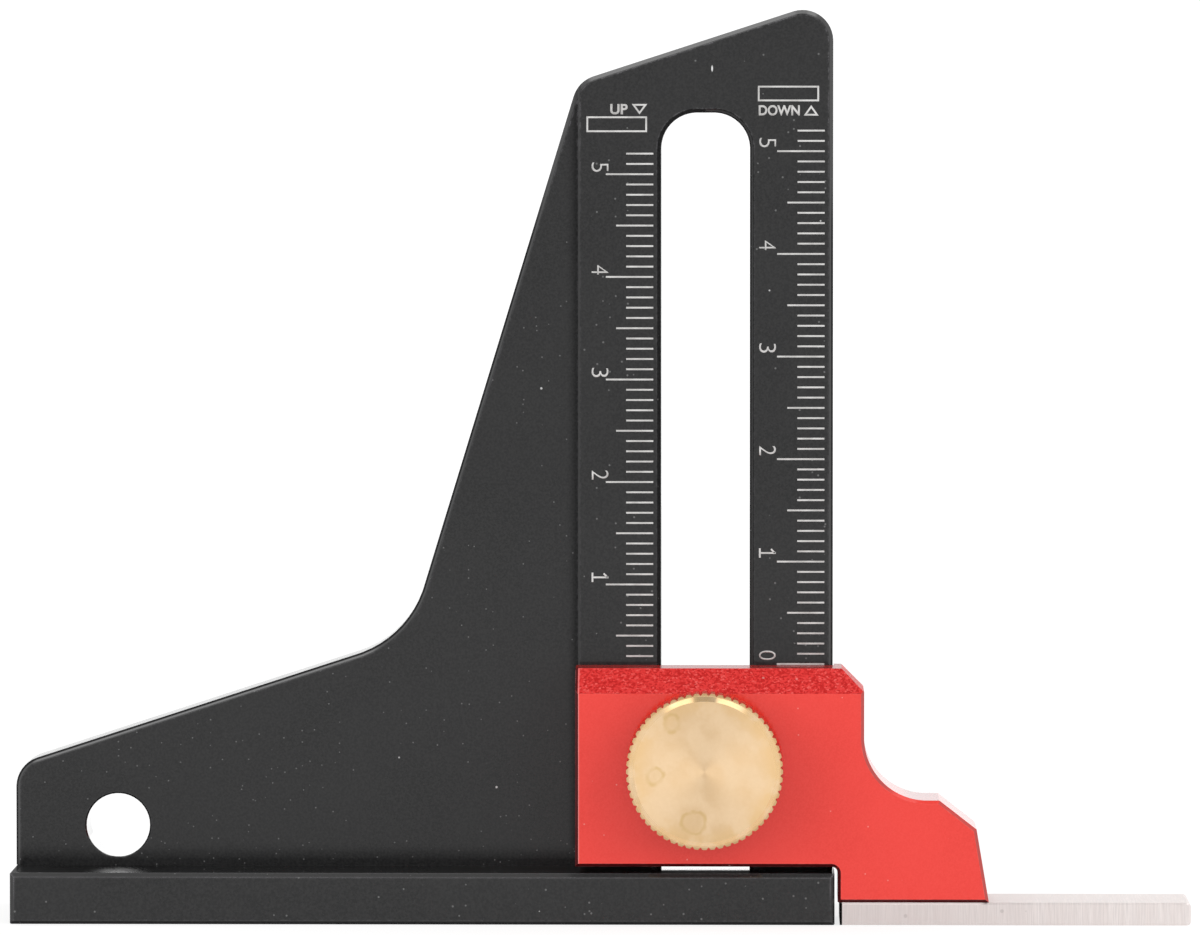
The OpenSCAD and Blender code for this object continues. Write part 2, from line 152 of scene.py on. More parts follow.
def settle(piece):
    """Moves the piece's place, turn and size into its mesh."""
    select_only(piece)
    bpy.ops.object.transform_apply(location=True, rotation=True, scale=True)


def edit(piece):
    """Opens the piece for editing, with all of its mesh selected."""
    select_only(piece)
    bpy.ops.object.mode_set(mode="EDIT")
    bpy.ops.mesh.select_all(action="SELECT")


def close_mesh():
    """Merges doubled points, turns the faces outwards and leaves edit mode."""
    bpy.ops.mesh.select_all(action="SELECT")
    bpy.ops.mesh.remove_doubles(threshold=MERGE_GAP)
    bpy.ops.mesh.normals_make_consistent(inside=False)
    bpy.ops.object.mode_set(mode="OBJECT")


def join(name, members):
    deselect_all()
    for member in members:
        member.select_set(True)
    bpy.context.view_layer.objects.active = members[0]
    bpy.ops.object.join()
    return name_piece(name)


def copy_to(piece, shift):
    copy = piece.copy()
    copy.data = piece.data.copy()
    bpy.context.scene.collection.objects.link(copy)
    copy.data.transform(Matrix.Translation(shift))
    return copy


def extent(piece):
    """Left, right, bottom and top of a flat piece, in its own X and Y."""
    xs = [v.co.x for v in piece.data.vertices]
    ys = [v.co.y for v in piece.data.vertices]
    return min(xs), max(xs), min(ys), max(ys)


# Marks on the rail: thin plates that stand on its front face

def lay_out(piece, across, up, origin):
    """Turns a flat piece's own X and Y into two directions on the rail's face, from a point there."""
    place = Matrix((across, up, TO_READER)).transposed().to_4x4()
    place.translation = origin
    piece.data.transform(place)


def raise_ink():
    """Gives the flat outline that is open for editing the thickness of a mark, towards the reader."""
    bpy.ops.mesh.select_all(action="SELECT")
    bpy.ops.mesh.extrude_region_move(TRANSFORM_OT_translate={"value": TO_READER * INK_T})
    close_mesh()


def keep_outline(piece):
    """Leaves only a line round the edge of a flat piece, as a mark."""
    edit(piece)
    bpy.ops.mesh.inset(thickness=SIGN_LINE, depth=0)
    bpy.ops.mesh.delete(type="FACE")
    raise_ink()
    return piece


def flat_blank(x_span, z_span):
    """A rectangle on the rail's face, turned to the reader."""
    deselect_all()
    centre = (sum(x_span) / 2, RAIL_FACE, sum(z_span) / 2)
    bpy.ops.mesh.primitive_plane_add(size=1, location=centre, rotation=(math.pi / 2, 0, 0))
    blank = bpy.context.active_object
    blank.scale = (x_span[1] - x_span[0], z_span[1] - z_span[0], 1)
    settle(blank)
    return blank


def stroke(start, end, thickness):
    """A straight line between two points of the rail's face, each given by X and Z."""
    deselect_all()
    bpy.ops.mesh.primitive_plane_add(size=1)
    line = bpy.context.active_object
    start = Vector((start[0], RAIL_FACE, start[1]))
    end = Vector((end[0], RAIL_FACE, end[1]))
    along = end - start
    lay_out(line, along, TO_READER.cross(along.normalized()) * thickness, (start + end) / 2)
    edit(line)
    raise_ink()
    return line


def tick(length):
    """A division line whose right end is at X 0, level with Z 0."""
    line = flat_blank((-length, 0), (-TICK_T / 2, TICK_T / 2))
    edit(line)
    raise_ink()
    return line


def tick_length(number):
    return next(length for step, length in TICK_LENGTHS.items() if number % step == 0)


def division_lines(name, ticks_end, zero):
    patterns = {length: tick(length) for length in TICK_LENGTHS.values()}
    lines = [
        copy_to(patterns[tick_length(n)], (ticks_end, 0, zero + n * TICK_PITCH))
        for n in range(LAST_TICK + 1)
    ]
    for pattern in patterns.values():
        bpy.data.objects.remove(pattern)
    return join(name, lines)


def outline_box(x_span, z_span):
    return keep_outline(flat_blank(x_span, z_span))


def outline_arrow(x_span, low, points_down):
    """An open triangle, made from a three-cornered disc."""
    deselect_all()
    bpy.ops.mesh.primitive_circle_add(vertices=3, radius=1, fill_type="NGON")
    arrow = bpy.context.active_object
    left, right, bottom, top = extent(arrow)
    wide = (x_span[1] - x_span[0]) / (right - left)
    high = SIGN_WORD_H / (top - bottom)
    turn = Matrix.Rotation(math.pi / 2, 4, "X")
    if points_down:
        turn = Matrix.Rotation(math.pi, 4, "Y") @ turn
    start = top if points_down else -bottom
    arrow.matrix_world = Matrix.Translation((sum(x_span) / 2, RAIL_FACE, low + start * high)) @ turn
    arrow.scale = (wide, high, 1)
    settle(arrow)
    return keep_outline(arrow)


def word(text, width, height, weight, corner, across, up):
    """Letters on the rail's face: corner is their lower left, across and up are their directions there."""
    deselect_all()
    bpy.ops.object.text_add()
    letters = bpy.context.active_object
    letters.data.body = text
    letters.data.offset = weight
    bpy.ops.object.convert(target="MESH")
    letters = bpy.context.active_object
    left, right, bottom, top = extent(letters)
    letters.data.transform(Matrix.Translation((-left, -bottom, 0)))
    lay_out(letters, across * (width / (right - left)), up * (height / (top - bottom)), corner)
    edit(letters)
    bpy.ops.mesh.remove_doubles(threshold=MERGE_GAP)
    raise_ink()
    return letters


def figure_one(left, low):
    """The figure 1, lying on its right side: a foot, a stem from its middle and a flag back from its head."""
    middle = low + DIGIT_W / 2
    head = left + DIGIT_H
    foot_x = left + DIGIT_LINE / 2
    foot = stroke((foot_x, low), (foot_x, low + DIGIT_W), DIGIT_LINE)
    stem = stroke((left + DIGIT_LINE, middle), (head, middle), DIGIT_LINE)
    flag_x = head - DIGIT_LINE / 2
    flag = stroke((flag_x, middle), (flag_x - ONE_FLAG, middle + ONE_FLAG), DIGIT_LINE)
    return [foot, stem, flag]


def scale_numbers(name, left, lift, zero):
    """Centimetre numbers beside their lines, turned to be read from the right."""
    numbers = []
    for n in range(LAST_TICK // TICKS_PER_NUMBER + 1):
        low = zero + n * TICKS_PER_NUMBER * TICK_PITCH + lift
        if n == 1:
            numbers += figure_one(left, low)
        else:
            corner = (left, RAIL_FACE, low + DIGIT_W)
            numbers.append(word(str(n), DIGIT_W, DIGIT_H, DIGIT_THINNING, corner, -UPWARD, TO_RIGHT))
    return join(name, numbers)


def sign(name, text, word_x, arrow_x, low, window_x, window_z, points_down):
    """A word with its arrow, and the open box beside them."""
    corner = (word_x[0], RAIL_FACE, low)
    width = word_x[1] - word_x[0]
    letters = word(text, width, SIGN_WORD_H, SIGN_WORD_WEIGHT, corner, TO_RIGHT, UPWARD)
    arrow = outline_arrow(arrow_x, low, points_down)
    window = outline_box(window_x, window_z)
    return join(name, [letters, arrow, window])


# Clamp stud with its thread

def threaded_stud(name):
    """One pitch of the thread's outline, turned round the stud's axis and cut square at both ends."""
    axis = (STUD_LOW + STUD_HIGH) / 2
    length = STUD_HIGH.y - STUD_LOW.y
    turns = math.ceil(length / STUD_PITCH) + SPARE_TURNS
    flank = STUD_PITCH * (1 - THREAD_CREST - THREAD_ROOT) / 2
    deselect_all()
    bpy.ops.mesh.primitive_plane_add(size=STUD_PITCH)
    stud = name_piece(name)
    edit(stud)
    bpy.ops.mesh.merge(type="CENTER")
    steps = (
        (-THREAD_DEPTH, flank),
        (0, STUD_PITCH * THREAD_ROOT),
        (THREAD_DEPTH, flank),
        (0, STUD_PITCH * THREAD_CREST),
    )
    bpy.ops.transform.translate(value=(STUD_R, -STUD_PITCH, 0))
    for out, along in steps:
        bpy.ops.mesh.extrude_region_move(TRANSFORM_OT_translate={"value": (out, along, 0)})
    bpy.ops.object.mode_set(mode="OBJECT")
    thread = stud.modifiers.new("thread", "SCREW")
    thread.axis = "Y"
    thread.angle = 2 * math.pi
    thread.screw_offset = STUD_PITCH
    thread.iterations = turns
    thread.steps = thread.render_steps = TURN_STEPS
    thread.use_merge_vertices = True
    bpy.ops.object.modifier_apply(modifier=thread.name)
    stud.data.transform(Matrix.Translation((axis.x, STUD_LOW.y, axis.z)))
    edit(stud)
    bpy.ops.mesh.remove_doubles(threshold=MERGE_GAP)
    for end, outward in ((STUD_LOW, -1), (STUD_HIGH, 1)):
        bpy.ops.mesh.select_all(action="SELECT")
        bpy.ops.mesh.bisect(
            plane_co=(axis.x, end.y, axis.z), plane_no=(0, outward, 0), use_fill=True, clear_outer=True
        )
    close_mesh()
    bpy.ops.object.shade_smooth_by_angle(angle=THREAD_SMOOTH)
    return stud


# Node helpers

VECTOR = "NodeSocketVector"
FLOAT = "NodeSocketFloat"


def feed(tree, socket, source):
    """Links a socket to another one, or sets its value."""
    if isinstance(source, bpy.types.NodeSocket):
        tree.links.new(source, socket)
    else:
        socket.default_value = source


def feed_all(tree, made, inputs):
    """Feeds sockets of a node by name, with underscores for the blanks in their names."""
    for socket_name, source in inputs.items():
        feed(tree, made.inputs[socket_name.replace("_", " ")], source)
    return made


def node(tree, kind, **inputs):
    return feed_all(tree, tree.nodes.new(kind), inputs)


def use_group(tree, group, **inputs):
    made = tree.nodes.new("ShaderNodeGroup")
    made.node_tree = group
    return feed_all(tree, made, inputs).outputs


def new_group(name, inputs, outputs):
    group = bpy.data.node_groups.new(name, "ShaderNodeTree")
    for socket_name, kind in inputs.items():
        group.interface.new_socket(socket_name, in_out="INPUT", socket_type=kind)
    for socket_name, kind in outputs.items():
        group.interface.new_socket(socket_name, in_out="OUTPUT", socket_type=kind)
    start = group.nodes.new("NodeGroupInput").outputs
    end = group.nodes.new("NodeGroupOutput").inputs
    return group, start, end


def calc(tree, operation, *values, clamp=False):
    made = tree.nodes.new("ShaderNodeMath")
    made.operation = operation
    made.use_clamp = clamp
    for socket, value in zip(made.inputs, values):
        feed(tree, socket, value)
    return made.outputs[0]


def vector_calc(tree, operation, *values):
    made = tree.nodes.new("ShaderNodeVectorMath")
    made.operation = operation
    for socket, value in zip(made.inputs, values):
        feed(tree, socket, value)
    return made.outputs["Value" if operation in ("DOT_PRODUCT", "LENGTH") else "Vector"]


def times(tree, *values):
    """The product of masks and weights."""
    product = values[0]
    for value in values[1:]:
        product = calc(tree, "MULTIPLY", product, value)
    return product


def highest(tree, *masks):
    """The strongest of the masks at each place."""
    top = masks[0]
    for mask in masks[1:]:
        top = calc(tree, "MAXIMUM", top, mask)
    return top


def all_but(tree, mask):
    return calc(tree, "SUBTRACT", 1.0, mask)


def distance(tree, value, middle):
    return calc(tree, "ABSOLUTE", calc(tree, "SUBTRACT", value, middle))


def ramp(tree, value, low, high, at_low=0.0, at_high=1.0):
    """A smooth step from at_low, where value is low, to at_high, where it is high."""
    made = tree.nodes.new("ShaderNodeMapRange")
    made.interpolation_type = "SMOOTHSTEP"
    for socket, source in zip(made.inputs, (value, low, high, at_low, at_high)):
        feed(tree, socket, source)
    return made.outputs["Result"]


def fade(tree, value, full, gone):
    """1 up to full, fading to 0 at gone."""
    return ramp(tree, value, full, gone, 1.0, 0.0)


def near(tree, value, middle, full, gone):
    """1 where value is within full of middle, fading to 0 at gone."""
    return fade(tree, distance(tree, value, middle), full, gone)


def between(tree, mask, at_none, at_full):
    """A value that goes from at_none to at_full as the mask goes from 0 to 1."""
    return ramp(tree, mask, 0.0, 1.0, at_none, at_full)


def blend(tree, amount, first, second):
    made = tree.nodes.new("ShaderNodeMix")
    made.data_type = "RGBA"
    feed(tree, made.inputs["Factor"], amount)
    feed(tree, made.inputs["A"], first)
    feed(tree, made.inputs["B"], second)
    return made.outputs["Result"]


def grey(level):
    return (level, level, level, 1.0)


def parts_of(tree, vector):
    """The X, Y and Z of a vector."""
    return node(tree, "ShaderNodeSeparateXYZ", Vector=vector).outputs


def place_on(tree):
    return node(tree, "ShaderNodeTexCoord").outputs["Object"]


def lean_of(tree):
    """The X, Y and Z of the direction that a surface faces."""
    return parts_of(tree, node(tree, "ShaderNodeTexCoord").outputs["Normal"])


def from_point(tree, place, point, shape):
    """The distance from a point, with X, Y and Z counted as much as the numbers in shape say."""
    off = vector_calc(tree, "SUBTRACT", place, tuple(point))
    return vector_calc(tree, "LENGTH", vector_calc(tree, "MULTIPLY", off, shape))


def tilt_of(tree, way):
    """The angle of a direction from straight up, towards either side."""
    return calc(tree, "ARCTAN2", calc(tree, "ABSOLUTE", way["X"]), way["Z"])


# Effects that several finishes share

NOISE_SPAN = (0.3, 0.7)
SPECK_LEAST = 0.4
SPECK_CORE = 0.6
DRIFT_SCALE = 0.06
DRIFT_SPAN = (0.35, 0.7)
DRIFT_SHARES = (0.25, 1.6)
EDGE_SAMPLES = 6
EDGE_TURN = (0.9, 0.995)
WEAR_SPAN = (0.42, 0.62)
RING_WOBBLE = (0.85, 1.15)
RING_CORE = 0.7
RING_MIDDLE = 0.2
RING_SPAN = (0.35, 0.65)
RING_STRENGTHS = (0.45, 1.0)


def scale_by(tree, texture, size, over=1.0):
    """Sets the scale of a texture from the size of what it draws."""
    feed(tree, texture.inputs["Scale"], calc(tree, "DIVIDE", over, size))


def make_grain():
    """Fine blasted grain: a height for bump and a slow patchy tone, both about 0 to 1."""
    group, start, end = new_group(
        "blasted_grain", {"Place": VECTOR, "Grain": FLOAT, "Patch": FLOAT}, {"Height": FLOAT, "Tone": FLOAT}
    )
    fine = node(group, "ShaderNodeTexNoise", Vector=start["Place"], Detail=2.0, Roughness=0.55)
    scale_by(group, fine, start["Grain"])
    slow = node(group, "ShaderNodeTexNoise", Vector=start["Place"], Detail=3.0, Roughness=0.5)
    scale_by(group, slow, start["Patch"])
    feed(group, end["Height"], ramp(group, fine.outputs["Fac"], *NOISE_SPAN))
    feed(group, end["Tone"], ramp(group, slow.outputs["Fac"], *NOISE_SPAN))
    return group


def make_dust():
    """Mask of small specks, thicker in some places than in others."""
    group, start, end = new_group(
        "dust_specks", {"Place": VECTOR, "Spacing": FLOAT, "Speck": FLOAT, "Share": FLOAT}, {"Mask": FLOAT}
    )
    cells = node(group, "ShaderNodeTexVoronoi", Vector=start["Place"])
    scale_by(group, cells, start["Spacing"])
    chance = node(group, "ShaderNodeSeparateColor", Color=cells.outputs["Color"]).outputs
    size = times(group, start["Speck"], calc(group, "ADD", SPECK_LEAST, chance["Green"]))
    speck = fade(group, cells.outputs["Distance"], times(group, size, SPECK_CORE), size)
    drift = node(group, "ShaderNodeTexNoise", Vector=start["Place"], Detail=1.0)
    scale_by(group, drift, start["Spacing"], DRIFT_SCALE)
    share = times(group, start["Share"], ramp(group, drift.outputs["Fac"], *DRIFT_SPAN, *DRIFT_SHARES))
    chosen = calc(group, "LESS_THAN", chance["Red"], share)
    feed(group, end["Mask"], times(group, speck, chosen))
    return group


def make_edge_wear():
    """Edge is 1 where a rounded normal leaves the true one, and Mask is the same, broken up in patches."""
    group, start, end = new_group(
        "edge_wear", {"Place": VECTOR, "Width": FLOAT, "Breaks": FLOAT}, {"Mask": FLOAT, "Edge": FLOAT}
    )
    rounded = node(group, "ShaderNodeBevel", Radius=start["Width"])
    rounded.samples = EDGE_SAMPLES
    true_normal = node(group, "ShaderNodeNewGeometry").outputs["Normal"]
    along = vector_calc(group, "DOT_PRODUCT", rounded.outputs["Normal"], true_normal)
    edge = fade(group, along, *EDGE_TURN)
    patches = node(group, "ShaderNodeTexNoise", Vector=start["Place"], Detail=4.0, Roughness=0.65)
    scale_by(group, patches, start["Breaks"])
    broken = ramp(group, patches.outputs["Fac"], *WEAR_SPAN)
    feed(group, end["Mask"], times(group, edge, broken))
    feed(group, end["Edge"], edge)
    return group


def make_stain_ring():
    """Mask of a dried drop on the knob's face: a thin uneven ring with a faint middle, round an X and Z."""
    group, start, end = new_group(
        "stain_ring",
        {"Place": VECTOR, "X": FLOAT, "Z": FLOAT, "Radius": FLOAT, "Line": FLOAT},
        {"Mask": FLOAT},
    )
    at = parts_of(group, start["Place"])
    wobble = node(group, "ShaderNodeTexNoise", Vector=start["Place"], Scale=900.0, Detail=2.0).outputs["Fac"]
    off_x = calc(group, "SUBTRACT", at["X"], start["X"])
    off_z = calc(group, "SUBTRACT", at["Z"], start["Z"])
    square = calc(group, "ADD", calc(group, "POWER", off_x, 2.0), calc(group, "POWER", off_z, 2.0))
    out = calc(group, "SQRT", square)
    radius = times(group, start["Radius"], ramp(group, wobble, *NOISE_SPAN, *RING_WOBBLE))
    ring = fade(group, distance(group, out, radius), 0.0, start["Line"])
    middle = ramp(group, out, times(group, radius, RING_CORE), radius, RING_MIDDLE, 0.0)
    strength = ramp(group, wobble, *RING_SPAN, *RING_STRENGTHS)
    feed(group, end["Mask"], times(group, highest(group, ring, middle), strength))
    return group


GRAIN = make_grain()
DUST = make_dust()
EDGE_WEAR = make_edge_wear()
STAIN_RING = make_stain_ring()


# Finishes

# Parts of the direction that a surface faces: a top, and a chamfer at 45 degrees
TOP_LEAN = (0.8, 0.9)
SLANT = 0.707
SLANT_REACH = (0.03, 0.08)


def new_finish(name, **constants):
    """A material whose Principled shader has its plain numbers set on its own sockets."""
    finish = bpy.data.materials.new(name)
    finish.use_nodes = True
    tree = finish.node_tree
    shader = feed_all(tree, tree.nodes["Principled BSDF"], constants)
    return finish, tree, shader.inputs


def bumpy(tree, shader, height, depth):
    bump = node(tree, "ShaderNodeBump", Height=height, Distance=depth, Strength=1.0)
    feed(tree, shader["Normal"], bump.outputs["Normal"])


# Black finish: its colours, and how strongly some of them show
BLACK_DEEP = (0.0075, 0.0075, 0.008, 1.0)
BLACK_SOFT = (0.0115, 0.0115, 0.012, 1.0)
BLACK_SPECKLE = grey(0.024)
SPECKLE_SHOWS = 0.7
BLACK_WORN = (0.13, 0.125, 0.135, 1.0)
# Painted highlight on the upright's chamfers and the rail's left edge
BLACK_CHAMFER_HIGHLIGHT = grey(0.14)
# Painted highlight on the foot's upper chamfer, left out in the slider's shade
BLACK_FOOT_HIGHLIGHT = grey(0.06)
FOOT_HIGHLIGHT_SHOWS = 0.5
FOOT_HIGHLIGHT_FADE = 1 * MM
DUST_GREY = grey(0.16)
DUST_SHOWS = 0.75
LINT_GREY = grey(0.6)
LINT_SHOWS = 0.8
NICK_GREY = grey(0.75)

# Black finish: dust, wear and an even painted highlight by height
LOW_DUST_Z = (12 * MM, 50 * MM)
LOW_DUST = (0.28, 0.18)
SEAT_DUST_H = 3.5 * MM
SEAT_DUST = 0.9
CROWN_WEAR_Z = (70 * MM, 80 * MM)
CROWN_WEAR = (0.35, 1.0)
RIM_Z = (2 * MM, 3 * MM)
# An even painted highlight along the foot's upper edges, under the patchy wear there
RIM_EVEN_HIGHLIGHT = 0.65
RIM_PATCHY_WEAR = 0.45
SEAT_REACH_Z = (0.2 * MM, 0.7 * MM)
SEAT_REACH_Y = (4 * MM, 5 * MM)

# Black finish: depths of a chamfer's pale part, a painted highlight, and of its dark part below the face, and
# where its chamfers are
CHAMFER_PALE = (0.06 * MM, 0.14 * MM)
CHAMFER_DARK = (0.22 * MM, 0.3 * MM)
CROWN_Z = (65 * MM, 75 * MM)
SLOT_REACH = (4.8 * MM, 4.9 * MM)
SLOT_ROOM = 1 * MM
RAIL_EDGE_REACH = (0.25 * MM, 0.3 * MM)
# Tilts from straight up beyond which the chamfers' painted highlight weakens
STEEP_TILT = (math.radians(24), math.radians(32))
STEEP_HIGHLIGHT = 0.3

# Black finish: dull, polished and bright places
SEAT_SHADE_H = 2.8 * MM
SEAT_SHADE = 0.85
RAIL_SHADE_W = 1.4 * MM
RAIL_SHADE = 0.7
UNDERSIDE_Z = (0.2 * MM, 0.45 * MM)
FOOT_END_W = (0.5 * MM, 0.8 * MM)
STRIP_REACH = (5 * MM, 5.5 * MM)
SMEAR_Y = (-8.05 * MM, -7.95 * MM)
HOLE_WALL = (0.03 * MM, 0.08 * MM)
ACROSS_Y = (1, 0, 1)
HOLE_SPOT_REACH = (3 * MM, 8 * MM)
BLACK_SKIN = (0.58, 0.08)
BLACK_ROUGH = (0.24, 0.3)
DULL_ROUGH = 0.9
POLISHED_ROUGH = 0.06
NICK = Vector((28.06, RAIL_FACE / MM, 82.9)) * MM
NICK_SHAPE = (1.0, 1.0, 0.3)
NICK_R = (0.04 * MM, 0.12 * MM)


def black_dust(tree, place, at, on_upright):
    """Dust that is thicker low down, and thickest where the upright stands on the foot."""
    low = ramp(tree, at["Z"], *LOW_DUST_Z, *LOW_DUST)
    seat = ramp(tree, at["Z"], FOOT_TOP, FOOT_TOP + SEAT_DUST_H, SEAT_DUST, 0.0)
    share = calc(tree, "ADD", low, times(tree, seat, on_upright))
    return use_group(tree, DUST, Place=place, Spacing=0.6 * MM, Speck=0.15, Share=share)["Mask"]


def black_wear(tree, place, at, on_foot):
    """Worn edges: most at the crown and on the foot's upper rim, none where the upright covers it; the foot's
    upper rim also gets an even painted highlight.
    """
    edges = use_group(tree, EDGE_WEAR, Place=place, Width=0.35 * MM, Breaks=0.45 * MM)
    upper = times(tree, edges["Mask"], ramp(tree, at["Z"], *CROWN_WEAR_Z, *CROWN_WEAR))
    # Even painted highlight along the foot's upper edges
    even_highlight = times(tree, edges["Edge"], RIM_EVEN_HIGHLIGHT)
    patchy = times(tree, edges["Mask"], RIM_PATCHY_WEAR)
    rim = times(tree, calc(tree, "ADD", even_highlight, patchy), on_foot, ramp(tree, at["Z"], *RIM_Z))
    seat_y = fade(tree, calc(tree, "ABSOLUTE", at["Y"]), *SEAT_REACH_Y)
    covered = times(tree, near(tree, at["Z"], FOOT_TOP, *SEAT_REACH_Z), seat_y)
    return times(tree, highest(tree, upper, rim), all_but(tree, covered))


def upright_chamfers(tree, at, lean, on_upright):
    """Two masks of the upright's chamfers: a painted highlight, strongest where they face the light above,
    and where they are dark.
    """
    out = calc(tree, "ABSOLUTE", at["Y"])
    chamfer = times(tree, near(tree, calc(tree, "ABSOLUTE", lean["Y"]), SLANT, *SLANT_REACH), on_upright)
    depth = calc(tree, "MINIMUM", distance(tree, out, -RAIL_FACE), distance(tree, out, WEB_FACE))
    outer_half = ramp(tree, depth, *CHAMFER_DARK)
    outer_edge = times(tree, outer_half, chamfer, fade(tree, at["Z"], *CROWN_Z))
    below_slot_top = calc(tree, "LESS_THAN", at["Z"], SLOT_TOP + SLOT_ROOM)
    round_slot = times(tree, near(tree, at["X"], KNOB_CENTRE.x, *SLOT_REACH), below_slot_top)
    left_of_slot = calc(tree, "LESS_THAN", at["X"], KNOB_CENTRE.x)
    slot_edge = times(tree, round_slot, highest(tree, left_of_slot, outer_half), chamfer)
    rail_edge = times(tree, near(tree, at["X"], RAIL_LEFT, *RAIL_EDGE_REACH), chamfer)
    open_edge = calc(tree, "SUBTRACT", calc(tree, "SUBTRACT", chamfer, outer_edge), slot_edge, clamp=True)
    pale_part = highest(tree, ramp(tree, depth, *CHAMFER_PALE), rail_edge)
    # Painted highlight: full on chamfers that face the light above, weaker on steep ones
    highlight_by_tilt = ramp(tree, tilt_of(tree, lean), *STEEP_TILT, 1.0, STEEP_HIGHLIGHT)
    pale = times(tree, open_edge, pale_part, highlight_by_tilt)
    return pale, highest(tree, outer_edge, slot_edge, rail_edge)


def dull_places(tree, at, on_upright, on_foot_top):
    """The upright's inner corners, the foot's lower edge and the left end of its top."""
    above_seat = ramp(tree, at["Z"], FOOT_TOP, FOOT_TOP + SEAT_SHADE_H, SEAT_SHADE, 0.0)
    on_web = calc(tree, "LESS_THAN", at["X"], RAIL_LEFT + HAIR)
    beside_rail = ramp(tree, at["X"], RAIL_LEFT - RAIL_SHADE_W, RAIL_LEFT, 0.0, RAIL_SHADE)
    in_corner = times(tree, highest(tree, above_seat, times(tree, beside_rail, on_web)), on_upright)
    underside = fade(tree, at["Z"], *UNDERSIDE_Z)
    from_end = calc(tree, "SUBTRACT", at["X"], FOOT_LEFT)
    foot_end = times(tree, fade(tree, from_end, *FOOT_END_W), on_foot_top)
    return highest(tree, in_corner, underside, foot_end)


def black_anodised():
    """Fine blasted and dyed black under a clear skin: dusty, worn at its edges, with painted highlights on
    its chamfers, and dull in its corners.
    """
    finish, tree, shader = new_finish(
        "black_anodised", Specular_IOR_Level=0.08, Coat_Roughness=0.06, Coat_IOR=1.5
    )
    place = place_on(tree)
    at = parts_of(tree, place)
    lean = lean_of(tree)
    on_upright = calc(tree, "GREATER_THAN", at["Z"], FOOT_TOP + HAIR)
    on_foot = all_but(tree, on_upright)
    on_foot_top = times(tree, on_foot, ramp(tree, lean["Z"], *TOP_LEAN))
    grain = use_group(tree, GRAIN, Place=place, Grain=0.22 * MM, Patch=9 * MM)
    lint = use_group(tree, DUST, Place=place, Spacing=3.2 * MM, Speck=0.032, Share=0.6)["Mask"]
    chamfer_highlight, dark_edges = upright_chamfers(tree, at, lean, on_upright)
    # Painted highlight on the foot's upper chamfer, fading out where the slider shades it
    clear_of_slider_shade = ramp(tree, at["X"], SLIDER_LEFT - FOOT_HIGHLIGHT_FADE, SLIDER_LEFT, FOOT_HIGHLIGHT_SHOWS, 0.0)
    foot_chamfer_highlight = times(tree, near(tree, lean["Z"], SLANT, *SLANT_REACH), on_foot, clear_of_slider_shade)
    nick = fade(tree, from_point(tree, place, NICK, NICK_SHAPE), *NICK_R)

    colour = blend(tree, grain["Tone"], BLACK_DEEP, BLACK_SOFT)
    colour = blend(tree, times(tree, grain["Height"], SPECKLE_SHOWS), colour, BLACK_SPECKLE)
    # Worn edges, and an even painted highlight along the foot's upper rim
    colour = blend(tree, black_wear(tree, place, at, on_foot), colour, BLACK_WORN)
    # Painted highlight on the upright's chamfers
    colour = blend(tree, chamfer_highlight, colour, BLACK_CHAMFER_HIGHLIGHT)
    # Painted highlight on the foot's upper chamfer
    colour = blend(tree, foot_chamfer_highlight, colour, BLACK_FOOT_HIGHLIGHT)
    colour = blend(tree, times(tree, black_dust(tree, place, at, on_upright), DUST_SHOWS), colour, DUST_GREY)
    colour = blend(tree, times(tree, lint, LINT_SHOWS), colour, LINT_GREY)
    feed(tree, shader["Base Color"], blend(tree, nick, colour, NICK_GREY))

    # The foot's top is wiped bright under the knob, up to a smear, and satin before the hanging hole
    below_knob = times(tree, near(tree, at["X"], KNOB_CENTRE.x, *STRIP_REACH), on_foot_top)
    smeared = times(tree, below_knob, fade(tree, at["Y"], *SMEAR_Y))
    wiped = calc(tree, "SUBTRACT", below_knob, smeared)
    from_wall = calc(tree, "SUBTRACT", from_point(tree, place, HANG_HOLE, ACROSS_Y), HANG_HOLE_R)
    polished = highest(tree, fade(tree, from_wall, *HOLE_WALL), wiped)
    dull = highest(tree, dull_places(tree, at, on_upright, on_foot_top), dark_edges, smeared)
    by_hole = times(tree, near(tree, at["X"], HANG_HOLE.x, *HOLE_SPOT_REACH), on_foot_top)
    rough = highest(tree, between(tree, grain["Tone"], *BLACK_ROUGH), times(tree, dull, DULL_ROUGH))
    feed(tree, shader["Coat Weight"], highest(tree, between(tree, dull, *BLACK_SKIN), polished))
    feed(tree, shader["Roughness"], between(tree, polished, rough, POLISHED_ROUGH))
    feed(tree, shader["Metallic"], highest(tree, by_hole, polished))
    bumpy(tree, shader, grain["Height"], depth=0.001 * MM)
    return finish


# Red finish: its colours, and how strongly some of them show
RED_DEEP = (0.8, 0.039, 0.027, 1.0)
RED_SOFT = (0.845, 0.045, 0.033, 1.0)
RED_SPECKLE = (0.885, 0.062, 0.047, 1.0)
RED_SPECKLE_SHOWS = 0.5
# Reading bevel reds, darker than the face: partly painted shade, partly the coarse cut
BEVEL_SHADE_DEEP = (0.53, 0.015, 0.014, 1.0)
BEVEL_SHADE_SOFT = (0.76, 0.043, 0.04, 1.0)
# Painted glints on the reading bevel
BEVEL_PAINTED_GLINT = (0.95, 0.2, 0.18, 1.0)
BEVEL_RED_CHANCE = (0.1, 0.7)
BEVEL_GLINT_CHANCE = (0.82, 1.0)
BEVEL_GLINT_SHOWS = 0.4
# Painted shade on the slider's top face
RED_TOP_SHADE = (0.12, 0.005, 0.005, 1.0)
RED_TOP_SHADE_SHOWS = 0.6
# Painted highlight along the slider's left edge
RED_LEFT_HIGHLIGHT = (0.95, 0.42, 0.4, 1.0)
LEFT_HIGHLIGHT_SHOWS = 0.45
